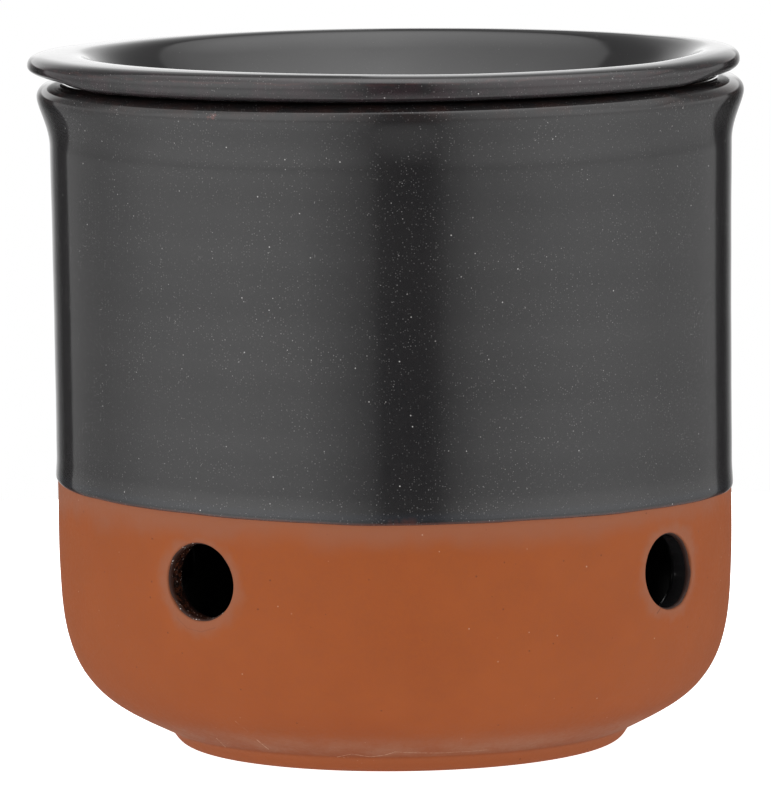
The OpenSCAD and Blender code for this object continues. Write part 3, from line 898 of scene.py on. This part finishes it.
# the backdrop fades upwards, more slowly to the right
spread = w.math("ABSOLUTE", turn)
sky = w.math("ADD", sky, w.math("MULTIPLY", w.ramp(spread, 172, 176, 0, 0.42), w.ramp(lift, -2, 1)))
right_side = w.math("GREATER_THAN", turn, 0.0)
fade_l = steps(lift, [(0, 1.35), (4.5, 1.35), (7, 1.1), (10, 1.02), (13, .92), (18, .70), (21, .60), (24, .48), (28, .36),
                      (32, .29), (38, .25), (50, .2), (90, .2)], 0, 90)
fade_l = w.math("MULTIPLY", fade_l, w.math("SUBTRACT", 1.0, w.math("MULTIPLY", w.ramp(turn, -179, -173, 0.65, 0), w.math(
    "MULTIPLY", w.ramp(lift, 12, 16), w.ramp(lift, 26, 36, 1, 0)))))
fade_r = steps(lift, [(0, 1.25), (4.5, 1.2), (7, 1.1), (10, .98), (14, .93), (18, .80), (22, .66), (26, .56), (32, .46),
                      (38, .38), (46, .30), (60, .24), (90, .24)], 0, 90)
fade_r = w.math("MULTIPLY", fade_r, w.ramp(turn, 150, 172, 0.55, 1.0))
fade = blend(w.ramp(spread, 140, 156), 0.24, blend(right_side, fade_l, fade_r))
behind = w.math("MULTIPLY", w.ramp(spread, 100, 132), w.ramp(lift, 4, 7))
sky = blend(behind, sky, fade)
# one large soft panel overhead, brightest in its middle
high = w.math("MAXIMUM", up, 0.001)
fore = w.math("DIVIDE", along, high)
aside = w.math("DIVIDE", across, high)
edge = w.ramp(aside, -0.75, 0.0, -0.72, -1.0, "LINEAR")
panel = w.math("MULTIPLY", w.ramp(w.math("SUBTRACT", fore, edge), -0.05, 0.06), w.ramp(fore, 0.1, 0.8, 1, 0))
panel = w.math("MULTIPLY", panel, w.math("GREATER_THAN", up, 0.05))
over = steps(aside, [(-3, 1.05), (-.85, 1.05), (-.7, 1.18), (-.5, 1.39), (-.22, 1.76), (0, 2.15), (.2, 2.05),
                     (.5, 1.75), (.7, 1.45), (.85, 1.2), (3, 1.05)], -3, 3)
rise = steps(fore, [(-1.2, .15), (-1.0, .20), (-.9, .28), (-.8, .38), (-.7, .52), (-.6, .66), (-.5, .77), (-.4, .86),
                    (-.3, .92), (-.2, .97), (0, 1.0), (1.2, 1.0)], -1.2, 1.2)
rise = w.math("ADD", rise, w.math("MULTIPLY", w.math("SUBTRACT", 1.0, rise), w.ramp(w.math("ABSOLUTE", aside), 0.1, 0.5, 0.0, 0.27)))
sky = blend(panel, sky, w.math("MULTIPLY", over, rise))
seen = w.node("ShaderNodeLightPath").outputs["Is Camera Ray"]
sky = blend(seen, sky, 1.0)
w.t.links.new(sky, bg.inputs["Strength"])
bg.inputs["Color"].default_value = (1, 1, 1, 1)

# ---------------------------------------------------------------- camera
DIST, HEIGHT, AIM_Z = 1.4405, 0.2347, 0.063
cam_data = bpy.data.cameras.new("camera")
cam = bpy.data.objects.new("camera", cam_data)
bpy.context.scene.collection.objects.link(cam)
cam_data.sensor_width = 36.0
cam_data.sensor_fit = "AUTO"
cam_data.lens = 353.77
cam_data.clip_start, cam_data.clip_end = 0.01, 50
pos = Vector(BACK) * DIST + Vector((0, 0, HEIGHT))
# the jar's axis lies 7 of the photograph's pixels right of the picture's middle
aim = Vector((0, 0, AIM_Z)) - Vector(RIGHT) * 0.00151 - Vector((0, 0, 0.0002))
look = (aim - pos).to_track_quat("-Z", "Y").to_matrix().to_4x4()
roll = Matrix.Rotation(math.radians(-0.62), 4, "Z")
cam.matrix_world = Matrix.Translation(pos) @ look @ roll
bpy.context.scene.camera = cam
bpy.context.scene.view_settings.view_transform = "Standard"
bpy.context.scene.view_settings.look = "None"
